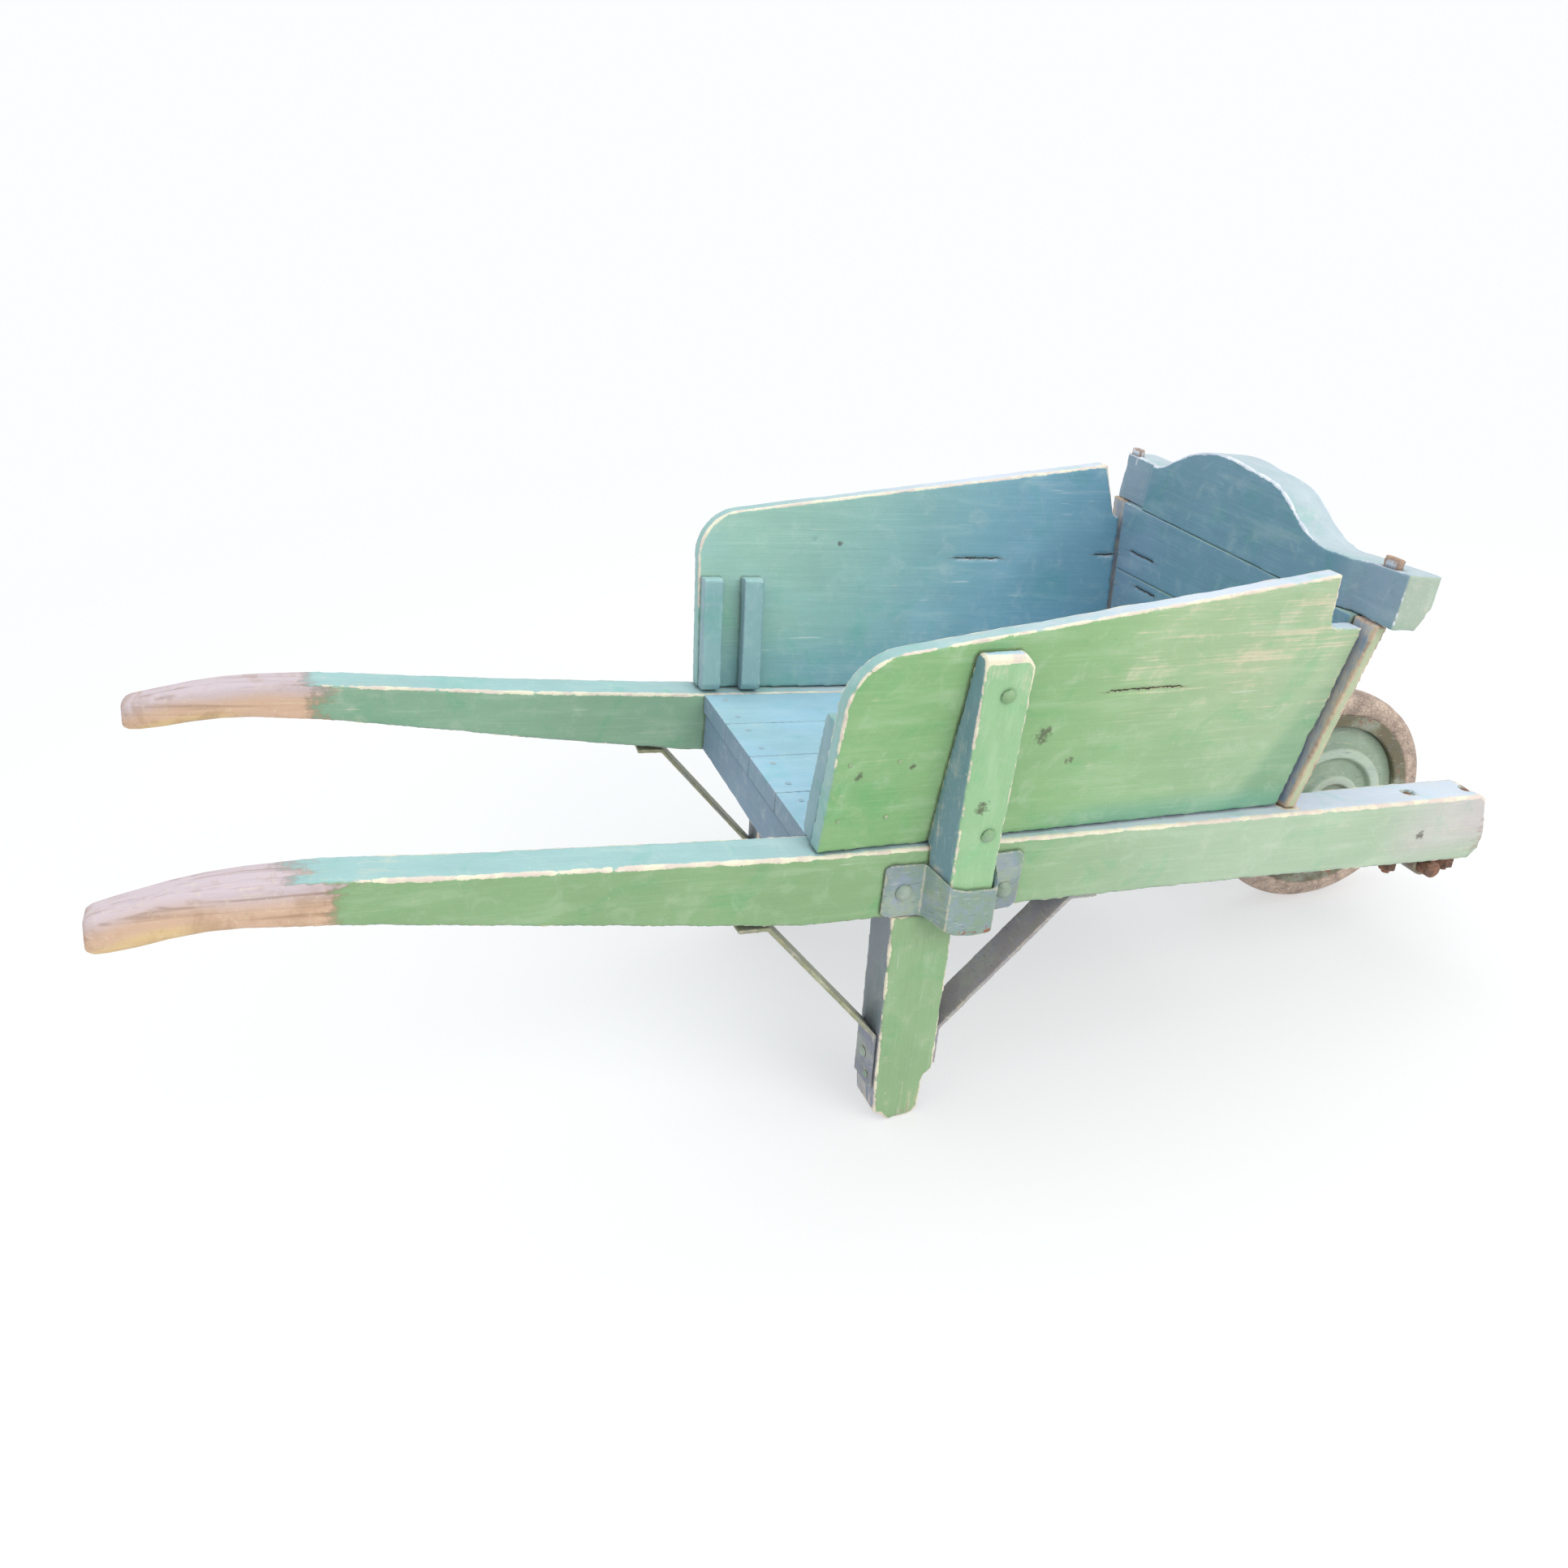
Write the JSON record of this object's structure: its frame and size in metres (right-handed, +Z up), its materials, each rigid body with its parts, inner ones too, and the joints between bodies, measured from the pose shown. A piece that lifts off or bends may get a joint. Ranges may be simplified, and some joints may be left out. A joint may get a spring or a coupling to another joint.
{
  "type": "wheelbarrow",
  "caption": "Old wooden wheelbarrow with leaning removable side panels, a crested headboard, iron-braced legs and a small disc wheel.",
  "frame": {"origin": "bottom centre of the whole barrow standing on its wheel and feet", "axes": "+X forward towards the wheel, +Y to the left of a person pushing, +Z up"},
  "size_m": [1.6328, 0.5778, 0.6156],
  "materials": {
    "green_painted_wood": "worn matt green paint over wood, bare at the edges",
    "blue_painted_wood": "worn matt blue paint over wood, bare at the edges",
    "painted_iron": "old green paint over forged strip, rust at the edges",
    "wheel_paint": "old green paint on pressed sheet, rust spots",
    "rim_metal": "dirty rusted rim",
    "tyre_rubber": "dusty solid rubber",
    "bare_iron": "rusted iron",
    "fastener_iron": "painted over, rusting"
  },
  "bodies": {
    "root": {"axle": "bare_iron", "axle_pins": "bare_iron", "axle_washers": "bare_iron", "crest_beam": "blue_painted_wood", "floor_board_1": "blue_painted_wood", "floor_board_2": "blue_painted_wood", "floor_board_3": "blue_painted_wood", "floor_board_4": "blue_painted_wood", "floor_nails": "fastener_iron", "front_cross_rail": "blue_painted_wood", "headboard_lower_plank": "blue_painted_wood", "headboard_middle_plank": "blue_painted_wood", "headboard_nails": "fastener_iron", "headboard_upper_plank": "blue_painted_wood", "left_axle_clamp": "painted_iron", "left_brace_bolts": "fastener_iron", "left_clamp_bolts": "fastener_iron", "left_clamp_nuts": "fastener_iron", "left_front_brace": "painted_iron", "left_leg": "green_painted_wood", "left_pocket_bolts": "fastener_iron", "left_pocket_nuts": "fastener_iron", "left_rear_brace": "painted_iron", "left_shaft": "green_painted_wood", "left_stake_pocket": "painted_iron", "left_upright": "blue_painted_wood", "middle_cross_rail": "blue_painted_wood", "rear_cross_rail": "blue_painted_wood", "right_axle_clamp": "painted_iron", "right_brace_bolts": "fastener_iron", "right_clamp_bolts": "fastener_iron", "right_clamp_nuts": "fastener_iron", "right_front_brace": "painted_iron", "right_leg": "green_painted_wood", "right_pocket_bolts": "fastener_iron", "right_pocket_nuts": "fastener_iron", "right_rear_brace": "painted_iron", "right_shaft": "green_painted_wood", "right_stake_pocket": "painted_iron", "right_upright": "blue_painted_wood"},
    "right_panel": {"right_side_board": "green_painted_wood", "right_stake": "green_painted_wood", "right_rear_cleat": "blue_painted_wood", "right_front_cleat": "blue_painted_wood", "right_stake_bolts": "fastener_iron", "right_cleat_nails": "fastener_iron"},
    "left_panel": {"left_side_board": "green_painted_wood", "left_stake": "green_painted_wood", "left_rear_cleat": "blue_painted_wood", "left_front_cleat": "blue_painted_wood", "left_stake_bolts": "fastener_iron", "left_cleat_nails": "fastener_iron"},
    "wheel": {"wheel_hub": "bare_iron", "right_wheel_disc": "wheel_paint", "left_wheel_disc": "wheel_paint", "wheel_rim": "rim_metal", "wheel_tyre": "tyre_rubber"}
  },
  "joints": [
    {"name": "wheel_spin", "type": "hinge", "parent": "root", "child": "wheel", "pos_m": [0.66803, 0, 0.1484], "axis": [0, 1, 0], "continuous": true},
    {"name": "right_panel_lift", "type": "slide", "parent": "root", "child": "right_panel", "axis": [0.1469, 0, 0.9891], "range_m": [0, 0.055]},
    {"name": "left_panel_lift", "type": "slide", "parent": "root", "child": "left_panel", "axis": [0.1469, 0, 0.9891], "range_m": [0, 0.055]}
  ]
}
